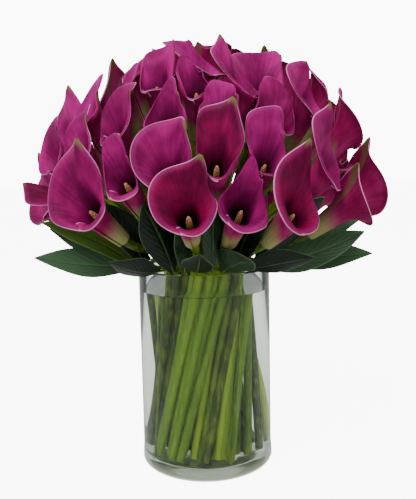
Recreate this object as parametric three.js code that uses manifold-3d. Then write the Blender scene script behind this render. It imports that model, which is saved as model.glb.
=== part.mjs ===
// A round bouquet of magenta calla lilies with dark foliage, standing in a clear glass cylinder of water.
// Millimetres, +Z up. The origin is the centre of the vase's underside; the photo looks along +Y.
import * as THREE from "three";
import Module from "manifold-3d";

// ---- vase and water
const VASE_R = 63.5; // outer radius of the glass cylinder
const VASE_H = 192; // height of the rim
const WALL = 4; // thickness of the glass wall
const FLOOR = 11; // thickness of the glass base
const WATER_Z = 170; // height of the water's surface
const SIDES = 26; // facets round the vase
const GAP = 0.3; // clearance kept between touching pieces

// ---- stems
const STEM_R = 3.7; // radius of a calla's stem
const SPRIG_R = 1.6; // radius of a leafy stem
const FOOT_Z = 13; // height of the cut ends
const FOOT_R = 47; // radius of the disc the callas' cut ends stand in
const SPRIG_FOOT_R = 53.5; // distance of the sprigs' cut ends from the axis
const NECK_Z = 197; // height of the narrowest place
const NECK_R = 40; // radius of the stems' disc at the neck
const TWIST = rad(62); // turn of the bundle from the cut ends to the neck
const SWAY = rad(6); // how much it differs from stem to stem
const SPRIG_TWIST = rad(20); // turn of the sprigs' stems
const SPADIX_TOP = 36; // top of the spadix over the base of its bloom

// ---- dome of blooms
const FOCUS = v3(0, 0, 150); // point that the cells of the blooms widen from
const DOME = v3(0, 0, 246); // centre of the dome
const TIP_R = 171; // distance of the tips from the dome's centre
const TIP_RISE = 34; // height of a tip over its throat along the bloom's axis, for size 1
const TIP_REACH = 31; // and across the axis
const DEPTH = 0.88; // the dome's depth against its width
const APART = 34; // least distance between two throats
const DOME_FLOOR = 204; // height of the blooms' lowest walls over the rim
const FLOOR_SLOPE = 0.2; // their rise towards the outside, in front and at the back
const FLOOR_SIDES = 0.1; // how much steeper they rise at the sides
const BASE_ROOM = 8.6; // least distance from a bloom's base to the walls of its cell
const PIVOT = 4; // depth below the throats at which the wall between two blooms begins to lean
const SHINGLE = 0.8; // lean of a wall towards the bloom that the tips point at
const SWIRL = 0.7; // and towards the neighbour on a bloom's broad side
const OVERLAP = 0.6; // and towards the bloom of the lower layer
const MOST_LEAN = 1.2; // steepest lean of a wall

// ---- spathe, the one large petal of a calla
const TUBE_R = 6; // middle radius of the sheet at the base
const TUBE_LEN = 38; // base to throat
const TUBE_OPEN = rad(6); // half angle of the tube
const FLARE_FROM = 25; // where the tube begins to open
const FLARE_FRONT = 5; // length of the flared part on the side away from the tip
const FLARE_TIP = 32; // and on the side of the tip
const BROAD = 1.4; // how narrow the long part is; a smaller number reaches further round the sides
const SKEW = 0.8; // angle from the tip to the middle of the long part: one side is the broad one
const CUSP = 18; // extra length of the pointed tip
const ROLL_FRONT = rad(95); // direction of the rim from the axis, away from the tip
const ROLL_BACK = rad(68); // on the long side
const ROLL_TIP = rad(55); // and at the tip itself
const SHEET = 1.0; // thickness of the sheet
const SPIRAL = 0.75; // how far the overlapping margins stand off the middle radius
const TURN = 9; // facets in one turn; the sheet has one more, which overlaps
const COLUMNS = 10;

// ---- leaves
const HOOP_R = 51; // radius and height of the bend of the sprigs just inside the rim
const HOOP_Z = 195;
const LEAF_R = 65; // radius and height of the foot of a blade, just outside the rim
const LEAF_Z = 194.5;
const BLADE = 0.8; // thickness of a blade

const GREEN = new THREE.MeshStandardMaterial({ name: "stem", color: 0x7f9a3c, roughness: 0.5 });
const MAGENTA = new THREE.MeshStandardMaterial({ name: "spathe", color: 0x8b1560, roughness: 0.45 });
const LEAF = new THREE.MeshStandardMaterial({ name: "leaf", color: 0x1f3a22, roughness: 0.4 });
const GLASS = new THREE.MeshStandardMaterial({
  name: "glass", color: 0xe6efe9, roughness: 0.05, transparent: true, opacity: 0.35,
});
const WATER = new THREE.MeshStandardMaterial({
  name: "water", color: 0xd8e4c8, roughness: 0.05, transparent: true, opacity: 0.35,
});

// Each bloom: azimuth and elevation of its tip on the dome, bearing of the throat seen from the tip
// (0 = below it, 90 = to the right), size, and layer (a higher one lies over its neighbours).
const BLOOMS = [
  [-37, 21, -6, 1.2, 2], [-38, 36, -47, 1.1, 1], [-60, 33, -15, 1.05, 0], [-70, 12, 129, 1, -1],
  [-26, 39, -65, 1.1, 2], [-41, 53, -45, 1.1, 0], [-17, 27, -32, 1.1, 1],
  [-24, 52, -78, 1, -1], [-38, 73, -60, 1.05, 0], [-19, 59, -43, 1, 0], [-12, 80, 180, 1, 0],
  [7, 57, -30, 1.1, -1], [17, 59, 37, 1.1, 0], [57, 68, 150, 1, -1],
  [65, 60, -88, 1.25, 1], [-4, 41, -25, 1.2, 0], [17, 42, -60, 1.15, 0], [-1, 32, -46, 1.1, 3],
  [11, 34, -28, 1.1, 2], [34, 31, -60, 1.2, 1], [42, 41, -75, 1.1, 0], [59, 50, -30, 1.05, 1],
  [72, 52, 10, 1, 0], [26, 21, -65, 1.25, 1], [31, 19, -5, 1.2, 2], [0, 16, -22, 1, 3],
  [47, 31, -5, 1.2, 1], [74, 40, 4, 1, 0], [76, 16, 170, 1.05, -1], [50, 13, 60, 1.05, 0],
  [85, 22, 12, 1.25, 1], [121, 24, -25, 1.25, 0], [141, 19, 15, 1.3, 1], [160, 18, -8, 1.25, 0],
  [179, 46, 43, 1.3, 1], [206, 21, -11, 1.25, 0], [231, 27, 13, 1.3, 1], [256, 15, -7, 1.25, 0],
  [264, 20, 33, 1.25, 1],
  [107, 42, -15, 1.3, 0], [128, 41, 31, 1.3, 1], [169, 39, -4, 1.3, 0], [177, 57, 20, 1.3, 1],
  [234, 57, -30, 1.3, 0], [260, 42, 9, 1.3, 1], [272, 42, 34, 1.2, 0],
  [109, 67, 18, 1.3, 1], [174, 82, -30, 1.3, 0], [212, 71, -19, 1.3, 1], [261, 60, -22, 1.3, 0],
  [64, 84, 147, 1.2, 0], [242, 83, 153, 1.2, 1],
];

// Each leaf under the blooms: quarter, azimuth of its foot and of its tip, distance and height of the tip,
// width, lift of the middle of the blade, and roll about the midrib in degrees.
const LEAVES = [
  [1, -72, -77, 159, 207, 29, -3, -62], [1, -62, -76, 151, 239, 29, 8, -46],
  [1, -50, -52, 116, 258, 27, 9, 52], [1, -37, -50, 106, 206, 33, -6, 36],
  [1, -24, -22, 124, 256, 36, 6, 56], [1, -15, -4, 112, 257, 29, 6, 34],
  [1, -6, -1, 118, 217, 27, -5, -13], [2, 7, 4, 119, 255, 25, 5, 45], [2, 15, 20, 117, 209, 33, 4, -39],
  [2, 24, 23, 130, 255, 29, 10, -49], [2, 36, 46, 129, 209, 26, 0, -51],
  [2, 47, 45, 140, 259, 35, 6, -27], [2, 56, 72, 152, 226, 36, -6, 59],
  [2, 66, 78, 152, 239, 32, 6, 53], [2, 78, 76, 159, 205, 29, 0, 58], [3, 98, 94, 149, 241, 32, -3, 59],
  [3, 114, 126, 140, 254, 35, -3, 2], [3, 131, 134, 144, 201, 32, 7, -34],
  [3, 148, 148, 126, 246, 35, 1, 61], [3, 166, 180, 144, 222, 33, 2, -57],
  [4, 178, 186, 129, 212, 30, -5, 61], [4, 203, 188, 140, 244, 34, 6, -50],
  [4, 220, 230, 133, 249, 35, -1, 54], [4, 238, 244, 136, 253, 35, 5, 37],
  [4, 256, 243, 131, 198, 35, 6, 35], [4, 272, 268, 150, 230, 33, 3, -50],
];

const wasm = await Module();
wasm.setup();

function rad(degrees) {
  return (degrees * Math.PI) / 180;
}

function v3(x, y, z) {
  return new THREE.Vector3(x, y, z);
}

// Point at an azimuth (0 towards the camera, -Y; 90 towards +X), an elevation and a distance.
function polar(centre, az, el, r) {
  const c = Math.cos(rad(el));
  return v3(c * Math.sin(rad(az)), -c * Math.cos(rad(az)), Math.sin(rad(el)))
    .multiplyScalar(r).add(centre);
}

function smooth(a, b, x) {
  const t = Math.min(Math.max((x - a) / (b - a), 0), 1);
  return t * t * (3 - 2 * t);
}

// Smaller of two values, rounded where they are closer than k.
function softMin(a, b, k) {
  const h = Math.max(k - Math.abs(a - b), 0) / k;
  return Math.min(a, b) - (h * h * k) / 4;
}

// ---------------------------------------------------------------- solids from grids of points

// Mesh solid from a list of points and a list of triangles.
function solid(points, triangles) {
  const flat = new Float32Array(points.length * 3);
  points.forEach((p, i) => flat.set([p.x, p.y, p.z], 3 * i));
  return new wasm.Manifold(
    new wasm.Mesh({ numProp: 3, vertProperties: flat, triVerts: new Uint32Array(triangles.flat()) }),
  );
}

// Closed sheet: the grid of middle points is given a thickness along its normals.
function sheet(grid, thickness) {
  const m = grid.length, n = grid[0].length;
  const at = (i, j) => grid[Math.min(Math.max(i, 0), m - 1)][Math.min(Math.max(j, 0), n - 1)];
  const front = [], back = [];
  for (let i = 0; i < m; i++)
    for (let j = 0; j < n; j++) {
      const u = at(i + 1, j).clone().sub(at(i - 1, j));
      const w = at(i, j + 1).clone().sub(at(i, j - 1));
      const normal = u.cross(w).normalize().multiplyScalar(thickness / 2);
      front.push(at(i, j).clone().add(normal));
      back.push(at(i, j).clone().sub(normal));
    }
  const all = m * n, id = (i, j) => i * n + j, triangles = [];
  const quad = (a, b, c, d) => triangles.push([a, b, c], [a, c, d]);
  for (let i = 0; i < m - 1; i++)
    for (let j = 0; j < n - 1; j++) {
      const [a, b, c, d] = [id(i, j), id(i + 1, j), id(i + 1, j + 1), id(i, j + 1)];
      triangles.push([a, b, d], [b, c, d]);
      triangles.push([all + a, all + d, all + b], [all + b, all + d, all + c]);
    }
  for (let i = 0; i < m - 1; i++) {
    quad(id(i, 0), all + id(i, 0), all + id(i + 1, 0), id(i + 1, 0));
    quad(id(i + 1, n - 1), all + id(i + 1, n - 1), all + id(i, n - 1), id(i, n - 1));
  }
  for (let j = 0; j < n - 1; j++) {
    quad(id(0, j + 1), all + id(0, j + 1), all + id(0, j), id(0, j));
    quad(id(m - 1, j), all + id(m - 1, j), all + id(m - 1, j + 1), id(m - 1, j + 1));
  }
  return solid([...front, ...back], triangles);
}

// Closed rod through a list of [point, radius], with rings turned so that they don't twist.
function rod(stations, sides) {
  const points = [], triangles = [];
  let across = v3(1, 0, 0);
  stations.forEach(([p, r], i) => {
    const before = stations[Math.max(i - 1, 0)][0];
    const after = stations[Math.min(i + 1, stations.length - 1)][0];
    const along = after.clone().sub(before).normalize();
    across = across.clone().addScaledVector(along, -across.dot(along)).normalize();
    const other = along.clone().cross(across);
    for (let k = 0; k < sides; k++) {
      const a = (2 * Math.PI * k) / sides;
      points.push(p.clone().addScaledVector(across, r * Math.cos(a)).addScaledVector(other, r * Math.sin(a)));
    }
  });
  for (let i = 0; i < stations.length - 1; i++)
    for (let k = 0; k < sides; k++) {
      const a = i * sides + k, b = i * sides + ((k + 1) % sides);
      triangles.push([a, b, b + sides], [a, b + sides, a + sides]);
    }
  const last = (stations.length - 1) * sides;
  for (let k = 1; k < sides - 1; k++) {
    triangles.push([0, k + 1, k]);
    triangles.push([last, last + k, last + k + 1]);
  }
  return solid(points, triangles);
}

// Solid of revolution: an outline of [radius, height] that starts and ends on the axis.
function turned(outline, sides) {
  const inner = outline.slice(1, -1), points = [], triangles = [];
  for (const [r, z] of inner)
    for (let k = 0; k < sides; k++) {
      const a = (2 * Math.PI * k) / sides;
      points.push(v3(r * Math.cos(a), r * Math.sin(a), z));
    }
  const bottom = points.push(v3(0, 0, outline[0][1])) - 1;
  const top = points.push(v3(0, 0, outline.at(-1)[1])) - 1;
  for (let k = 0; k < sides; k++) {
    const next = (k + 1) % sides, last = (inner.length - 1) * sides;
    triangles.push([bottom, next, k], [top, last + k, last + next]);
    for (let i = 0; i < inner.length - 1; i++) {
      const a = i * sides + k, b = i * sides + next;
      triangles.push([a, b, b + sides], [a, b + sides, a + sides]);
    }
  }
  return solid(points, triangles);
}

// ---------------------------------------------------------------- where the blooms stand

// Tip and throat of a bloom from its row of the table: the tip lies on the dome.
function placed([az, el, bearing, size, layer], index) {
  const tip = polar(v3(0, 0, 0), az, el, TIP_R).multiply(v3(1, DEPTH, 1)).add(DOME);
  const away = polar(v3(0, 0, 0), az, el - 90, -Math.cos(rad(bearing)))
    .addScaledVector(v3(Math.cos(rad(az)), Math.sin(rad(az)), 0), -Math.sin(rad(bearing)));
  const throat = tip.clone();
  for (let round = 0; round < 6; round++) {
    const axis = throat.clone().sub(FOCUS).normalize();
    const up = away.clone().addScaledVector(axis, -away.dot(axis)).normalize();
    throat.copy(tip).addScaledVector(axis, -TIP_RISE * size).addScaledVector(up, -TIP_REACH * size);
  }
  return { index, size, layer, tip, throat };
}

// Throats that stand too close are eased apart along the dome; each takes its tip part of the way.
function easeApart(blooms) {
  for (let round = 0; round < 60; round++)
    for (const a of blooms)
      for (const b of blooms) {
        const apart = b.throat.clone().sub(a.throat), d = apart.length();
        const least = (APART * (a.size + b.size)) / 2;
        if (a.index >= b.index || d > least) continue;
        apart.multiplyScalar((least - d) / d / 4);
        for (const [bloom, sign] of [[a, -1], [b, 1]]) {
          const move = apart.clone().multiplyScalar(sign);
          const out = bloom.throat.clone().sub(DOME).normalize();
          move.addScaledVector(out, -move.dot(out));
          bloom.throat.add(move);
          bloom.tip.addScaledVector(move, 0.5);
        }
      }
}

// Frame of a bloom: the axis of its tube and the direction of its tip across it.
function framed(bloom) {
  bloom.axis = bloom.throat.clone().sub(FOCUS).normalize();
  bloom.up = bloom.tip.clone().sub(bloom.throat);
  bloom.up.addScaledVector(bloom.axis, -bloom.up.dot(bloom.axis)).normalize();
  bloom.side = bloom.axis.clone().cross(bloom.up);
  bloom.base = bloom.throat.clone().addScaledVector(bloom.axis, -TUBE_LEN * bloom.size);
}

// Walls of a bloom's cell: between it and each neighbour a plane up to the height of the throats, and over it
// a leaning one that lets one of the two blooms reach over the other; and the floor of the dome.
function wallsOf(bloom, blooms) {
  const walls = [];
  for (const other of blooms) {
    if (other === bloom || other.throat.distanceTo(bloom.throat) > 180) continue;
    const share = bloom.size / (bloom.size + other.size);
    const middle = bloom.throat.clone().lerp(other.throat, share);
    const out = middle.clone().sub(FOCUS).normalize();
    const normal = other.throat.clone().sub(bloom.throat);
    normal.addScaledVector(out, -normal.dot(out)).normalize();
    const layers = Math.max(-2, Math.min(2, bloom.layer - other.layer));
    const tips = bloom.up.dot(normal) + other.up.dot(normal);
    const sides = bloom.side.dot(normal) + other.side.dot(normal);
    const free = (SHINGLE * tips + SWIRL * sides + OVERLAP * layers) / 2;
    const lean = Math.max(-MOST_LEAN, Math.min(MOST_LEAN, free));
    const height = Math.max(...[bloom, other].map((b) => b.throat.clone().sub(middle).dot(out)));
    const bend = middle.clone().addScaledVector(out, height - PIVOT);
    walls.push([middle, normal, bend, normal.clone().addScaledVector(out, -lean).normalize(), lean > 0]);
  }
  for (let az = 0; az < 360; az += 30) {
    const away = polar(v3(0, 0, 0), az, 0, 1);
    const slope = FLOOR_SLOPE + FLOOR_SIDES * Math.abs(away.x);
    const rim = away.clone().multiplyScalar(62).setZ(DOME_FLOOR);
    const down = away.multiplyScalar(slope).setZ(-1).normalize();
    walls.push([rim, down, rim, down, false]);
  }
  return walls;
}

// Base moved clear of the walls of the cell, with the tube turned about the throat to follow it.
function settle(bloom) {
  for (let round = 0; round < 30; round++)
    for (const [q, normal] of bloom.walls) {
      const room = q.clone().sub(bloom.base).dot(normal);
      if (room >= BASE_ROOM) continue;
      bloom.base.addScaledVector(normal, room - BASE_ROOM);
      bloom.axis = bloom.throat.clone().sub(bloom.base).normalize();
      bloom.base = bloom.throat.clone().addScaledVector(bloom.axis, -TUBE_LEN * bloom.size);
    }
  bloom.up.addScaledVector(bloom.axis, -bloom.up.dot(bloom.axis)).normalize();
  bloom.side = bloom.axis.clone().cross(bloom.up);
}

// Point drawn in towards an anchor inside the cell, so that it stays clear of the walls.
function factor(p, anchor, walls, clear) {
  const ray = p.clone().sub(anchor);
  let f = 1;
  const until = (q, normal) => {
    const speed = ray.dot(normal);
    return speed > 1e-6 ? (q.clone().sub(anchor).dot(normal) - clear) / speed : 9;
  };
  for (const [q, normal, bend, leaning, over] of walls) {
    const [low, high] = [until(q, normal), until(bend, leaning)];
    f = softMin(f, over ? Math.max(low, high) : Math.min(low, high), 0.1);
  }
  return f;
}

// ---------------------------------------------------------------- spathes

// Length of the sheet from the base to the rim at an angle round the axis, 0 at the tip.
function flareLength(b, th) {
  const c = Math.pow((1 + Math.cos(th - SKEW)) / 2, BROAD);
  return FLARE_FRONT + (FLARE_TIP - FLARE_FRONT) * c + CUSP * Math.exp(-Math.abs(th) / 0.3) +
    1.5 * Math.sin(3 * th + 2.4 * b.index);
}

function spathePoint(b, th, share) {
  const full = TUBE_LEN + flareLength(b, th);
  const margin = 1 - 0.75 * smooth(2.2, 3.45, Math.abs(th));
  const end = TUBE_LEN + (full - TUBE_LEN) * margin;
  const c = Math.pow((1 + Math.cos(th - SKEW)) / 2, BROAD);
  const roll = ROLL_FRONT + (ROLL_BACK - ROLL_FRONT) * c - (ROLL_BACK - ROLL_TIP) * Math.exp(-th * th * 2.8);
  let rho = TUBE_R / b.size, z = 0;
  const steps = 24, ds = (end * share) / steps;
  for (let k = 0; k < steps; k++) {
    const s = (k + 0.5) * ds;
    const open = Math.pow(Math.max(s - FLARE_FROM, 0) / (full - FLARE_FROM), 1.5);
    const slope = TUBE_OPEN + (roll - TUBE_OPEN) * open;
    rho += Math.sin(slope) * ds;
    z += Math.cos(slope) * ds;
  }
  return [rho * b.size, z * b.size];
}

function spathe(b) {
  const clear = SHEET / 2 + SPIRAL + GAP;
  const grid = [0, 0.42, 0.74, 1].map((share) => {
    const row = [];
    for (let k = 0; k <= COLUMNS; k++) {
      const turn = (k - COLUMNS / 2) / TURN, th = 2 * Math.PI * turn;
      const [rho, z] = spathePoint(b, th, share);
      const ring = b.up.clone().multiplyScalar(Math.cos(th)).addScaledVector(b.side, Math.sin(th));
      const anchor = b.base.clone().addScaledVector(b.axis, Math.min(z, TUBE_LEN * b.size));
      const p = b.base.clone().addScaledVector(b.axis, z).addScaledVector(ring, rho);
      const f = factor(p, anchor, b.walls, clear);
      const spiral = (2 * SPIRAL * k) / COLUMNS - SPIRAL;
      row.push(anchor.addScaledVector(p.sub(anchor), f).addScaledVector(ring, spiral));
    }
    return row;
  });
  return sheet(grid, SHEET);
}

// ---------------------------------------------------------------- stems

// Places of the stems in the neck: ordered as their blooms, then eased apart.
function neckPlaces(blooms) {
  const places = blooms.map((b) => {
    const r = NECK_R * Math.sqrt((1 - b.axis.z) / (1 - Math.cos(rad(64))));
    return new THREE.Vector2(b.axis.x, b.axis.y).normalize().multiplyScalar(r);
  });
  for (let round = 0; round < 200; round++) {
    for (const a of places)
      for (const b of places) {
        const apart = b.clone().sub(a), d = apart.length();
        if (a === b || d > 8.9) continue;
        apart.multiplyScalar((8.9 - d) / d / 4);
        a.sub(apart);
        b.add(apart);
      }
    for (const a of places) if (a.length() > NECK_R) a.setLength(NECK_R);
  }
  return places;
}

// Straight part of a stem: its cut end, so far from the axis, and its place in the neck.
function straight(place, twist, reach) {
  const foot = place.clone().rotateAround(new THREE.Vector2(), -twist).setLength(reach);
  return [v3(foot.x, foot.y, FOOT_Z), v3(place.x, place.y, NECK_Z)];
}

function bezier(a, b, c, d, t) {
  const s = 1 - t;
  return a.clone().multiplyScalar(s * s * s).addScaledVector(b, 3 * s * s * t)
    .addScaledVector(c, 3 * s * t * t).addScaledVector(d, t * t * t);
}

function callaLine(b, place) {
  return straight(place, TWIST + SWAY * Math.sin(2.4 * b.index), (place.length() * FOOT_R) / NECK_R);
}

function stem(b, place) {
  const [foot, neck] = callaLine(b, place);
  const along = neck.clone().sub(foot).normalize();
  const reach = b.base.distanceTo(neck);
  const c1 = neck.clone().addScaledVector(along, 0.3 * reach);
  const c2 = b.base.clone().addScaledVector(b.axis, -0.45 * reach);
  const top = b.base.clone().addScaledVector(b.axis, SPADIX_TOP * b.size);
  return rod([
    [foot, STEM_R], [neck, STEM_R],
    [bezier(neck, c1, c2, b.base, 0.5), STEM_R], [b.base, STEM_R], [top, 1.4],
  ], 5);
}

// ---------------------------------------------------------------- leaves

// Leaf: a narrow stalk from the sprigs over the rim, then a pointed blade along an arc to its tip.
function leaf([, az0, az1, r, z, width, lift, roll]) {
  const root = polar(v3(0, 0, HOOP_Z), az0, 0, HOOP_R);
  const foot = polar(v3(0, 0, LEAF_Z), az0, 0, LEAF_R);
  const tip = polar(v3(0, 0, z), az1, 0, r);
  const middle = foot.clone().lerp(tip, 0.5).add(v3(0, 0, 1.5 * lift));
  const along = tip.clone().sub(foot).normalize();
  const level = along.clone().cross(v3(0, 0, 1)).normalize();
  const across = level.clone().applyAxisAngle(along, rad(roll));
  const row = (centre, side, half) => [-1, 0, 1].map((k) =>
    centre.clone().addScaledVector(side, k * half).add(v3(0, 0, Math.abs(k) * half * 0.22)));
  const grid = [row(root, level, 1.2), row(foot, level, 1.2)];
  for (const t of [0.25, 0.5, 0.75, 1]) {
    const centre = bezier(foot, foot.clone().lerp(middle, 0.67), tip.clone().lerp(middle, 0.67), tip, t);
    grid.push(row(centre, across, (width / 2) * Math.sin(Math.PI * (0.06 + 0.93 * t))));
  }
  return sheet(grid, BLADE);
}

// Leafy sprigs of one quarter: a stem in the water, a bend inside the rim, and its leaves.
function sprigs(quarter) {
  const leaves = LEAVES.filter((row) => row[0] === quarter);
  const [from, to] = [leaves[0][1], leaves.at(-1)[1]];
  const bend = [0, 0.25, 0.5, 0.75, 1].map((t) =>
    [polar(v3(0, 0, HOOP_Z), from + (to - from) * t, 0, HOOP_R), SPRIG_R]);
  const upright = sprigLine(quarter).map((p) => [p, SPRIG_R]);
  return wasm.Manifold.union([rod(bend, 5), rod(upright, 5), ...leaves.map(leaf)]);
}

// Line of the sprigs' stem of a quarter, outside the callas' stems.
function sprigLine(quarter) {
  const leaves = LEAVES.filter((row) => row[0] === quarter);
  const p = polar(v3(0, 0, 0), (leaves[0][1] + leaves.at(-1)[1]) / 2, 0, HOOP_R);
  return straight(new THREE.Vector2(p.x, p.y), SPRIG_TWIST, SPRIG_FOOT_R);
}

// ---------------------------------------------------------------- the bouquet

const group = new THREE.Group();

function addNode(name, made, material) {
  const mesh = made.getMesh();
  const geometry = new THREE.BufferGeometry()
    .setAttribute("position", new THREE.BufferAttribute(mesh.vertProperties, 3))
    .setIndex(new THREE.BufferAttribute(mesh.triVerts, 1));
  const node = new THREE.Mesh(geometry.toNonIndexed(), material);
  node.geometry.computeVertexNormals();
  node.name = name;
  group.add(node);
}

const blooms = BLOOMS.map(placed);
easeApart(blooms);
blooms.forEach(framed);
for (const b of blooms) b.walls = wallsOf(b, blooms);
blooms.forEach(settle);
blooms.forEach((b, i) => {
  addNode("spathe_" + String(i + 1).padStart(2, "0"), spathe(b), MAGENTA);
});

const places = neckPlaces(blooms);
const plug = wasm.Manifold.cylinder(6, NECK_R + 3, NECK_R + 3, 24).translate([0, 0, NECK_Z - 3]);
addNode("stems", wasm.Manifold.union([plug, ...blooms.map((b, i) => stem(b, places[i]))]), GREEN);

for (const quarter of [1, 2, 3, 4]) addNode("foliage_" + quarter, sprigs(quarter), LEAF);

const inside = VASE_R - WALL;
addNode("vase", turned([
  [0, 0], [VASE_R - 6, 0], [VASE_R - 1.5, 2], [VASE_R + 0.8, 8], [VASE_R, 18], [VASE_R, VASE_H - 1.5],
  [VASE_R - 1.5, VASE_H], [inside + 1.5, VASE_H], [inside, VASE_H - 1.5], [inside, FLOOR + 5],
  [inside - 5, FLOOR], [0, FLOOR],
], SIDES), GLASS);

function hole([foot, neck], radius) {
  const along = neck.clone().sub(foot).normalize();
  return rod([[foot.clone().addScaledVector(along, -9), radius + GAP], [neck, radius + GAP]], 5);
}
const holes = blooms.map((b, i) => hole(callaLine(b, places[i]), STEM_R));
for (const quarter of [1, 2, 3, 4]) holes.push(hole(sprigLine(quarter), SPRIG_R));
const body = turned([
  [0, FLOOR + GAP], [inside - 5.1, FLOOR + GAP], [inside - GAP, FLOOR + 5.1], [inside - GAP, WATER_Z],
  [0, WATER_Z],
], SIDES);
addNode("water", wasm.Manifold.difference([body, ...holes]), WATER);

export default group;
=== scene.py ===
# %% [markdown]
# # Calla lilies in a glass vase
# A tight round bouquet of magenta calla lilies stands in a clear cylinder of water. A calla has no ring of
# petals: it has one sheet, the spathe, rolled into a tube and opened into a mouth with a pointed tip, and a
# finger-like spadix inside. The CAD part already says where each bloom, stem, leaf and the vase are; here
# each one gets its fine form and its finish.

import math

import bpy
import numpy as np
from mathutils import Matrix, Vector


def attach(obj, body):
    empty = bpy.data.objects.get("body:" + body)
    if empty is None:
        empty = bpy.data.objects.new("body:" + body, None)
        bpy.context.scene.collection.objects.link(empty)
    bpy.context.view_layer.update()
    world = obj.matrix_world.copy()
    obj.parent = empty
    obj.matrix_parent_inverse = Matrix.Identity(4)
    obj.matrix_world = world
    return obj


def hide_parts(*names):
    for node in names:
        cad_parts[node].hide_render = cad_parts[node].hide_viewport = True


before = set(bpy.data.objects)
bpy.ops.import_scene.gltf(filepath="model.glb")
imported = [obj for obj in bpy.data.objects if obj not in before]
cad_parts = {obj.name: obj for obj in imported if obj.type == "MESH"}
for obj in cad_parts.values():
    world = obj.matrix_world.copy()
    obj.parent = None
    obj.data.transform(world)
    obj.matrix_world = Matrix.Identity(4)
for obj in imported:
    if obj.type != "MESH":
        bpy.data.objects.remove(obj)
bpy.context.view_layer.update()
MM = 0.001

# %% [markdown]
# ## Camera
# The photo looks slightly down on the vase from about 60 cm, with a small lean to the left. The distance
# matters more than it seems: it decides how much wider the near blooms look than the vase behind them.

# %% Camera
CAMERA_AT = Vector((4.4, -595.5, 274.4)) * MM
CAMERA_PITCH = math.radians(6.42)
CAMERA_ROLL = math.radians(1.2)
FOCAL_PIXELS = 615.4
FRAME_PIXELS = (416, 499)
SENSOR = 36.0

camera_data = bpy.data.cameras.new("camera")
camera_data.sensor_width = SENSOR
camera_data.lens = SENSOR * FOCAL_PIXELS / max(FRAME_PIXELS)
camera = bpy.data.objects.new("camera", camera_data)
turn = Matrix.Rotation(math.pi / 2 - CAMERA_PITCH, 4, "X") @ Matrix.Rotation(-CAMERA_ROLL, 4, "Z")
camera.matrix_world = Matrix.Translation(CAMERA_AT) @ turn
bpy.context.scene.collection.objects.link(camera)
bpy.context.scene.camera = camera
print("lens in mm:", round(camera_data.lens, 1))

# %% [markdown]
# ## Where the blooms stand
# The tips of the blooms lie on a dome, and every tube points away from one point inside it. Two neighbours
# share a wall of empty space that leans over the lower one, so mouths overlap as they do in a packed
# bouquet and still never cross. The table gives each bloom one by one; the rest follows from a few sizes.

# %% Driving sizes of the bouquet, in mm
VASE_R, VASE_H, WALL, FLOOR = 63.5, 192.0, 4.0, 11.0
WATER_Z = 170.0
GAP = 0.3
STEM_R, SPRIG_R = 3.7, 1.6
FOOT_Z, FOOT_R, SPRIG_FOOT_R = 13.0, 47.0, 53.5
NECK_Z, NECK_R, NECK_SPACING, WIDEST_LEAN = 197.0, 40.0, 8.9, math.radians(64)
TWIST, SWAY, SPRIG_TWIST = math.radians(62), math.radians(6), math.radians(20)
SPADIX_TOP = 36.0
FOCUS = np.array([0.0, 0.0, 150.0])
DOME = np.array([0.0, 0.0, 246.0])
TIP_R, TIP_RISE, TIP_REACH, DEPTH, APART = 171.0, 34.0, 31.0, 0.88, 34.0
DOME_FLOOR, FLOOR_SLOPE, FLOOR_SIDES = 204.0, 0.2, 0.1
BASE_ROOM, PIVOT, SHINGLE, SWIRL, OVERLAP, MOST_LEAN = 8.6, 4.0, 0.8, 0.7, 0.6, 1.2
NEIGHBOURS, FLOOR_RING, FLOOR_STEP = 180.0, 62.0, 30
TUBE_R, TUBE_LEN, TUBE_OPEN = 6.0, 38.0, math.radians(6)
FLARE_FROM, FLARE_FRONT, FLARE_TIP, BROAD, SKEW, CUSP = 25.0, 5.0, 32.0, 1.4, 0.8, 18.0
ROLL_FRONT, ROLL_BACK, ROLL_TIP = math.radians(95), math.radians(68), math.radians(55)
SHEET, SPIRAL = 1.0, 0.75
TURN, COLUMNS = 9, 10

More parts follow.
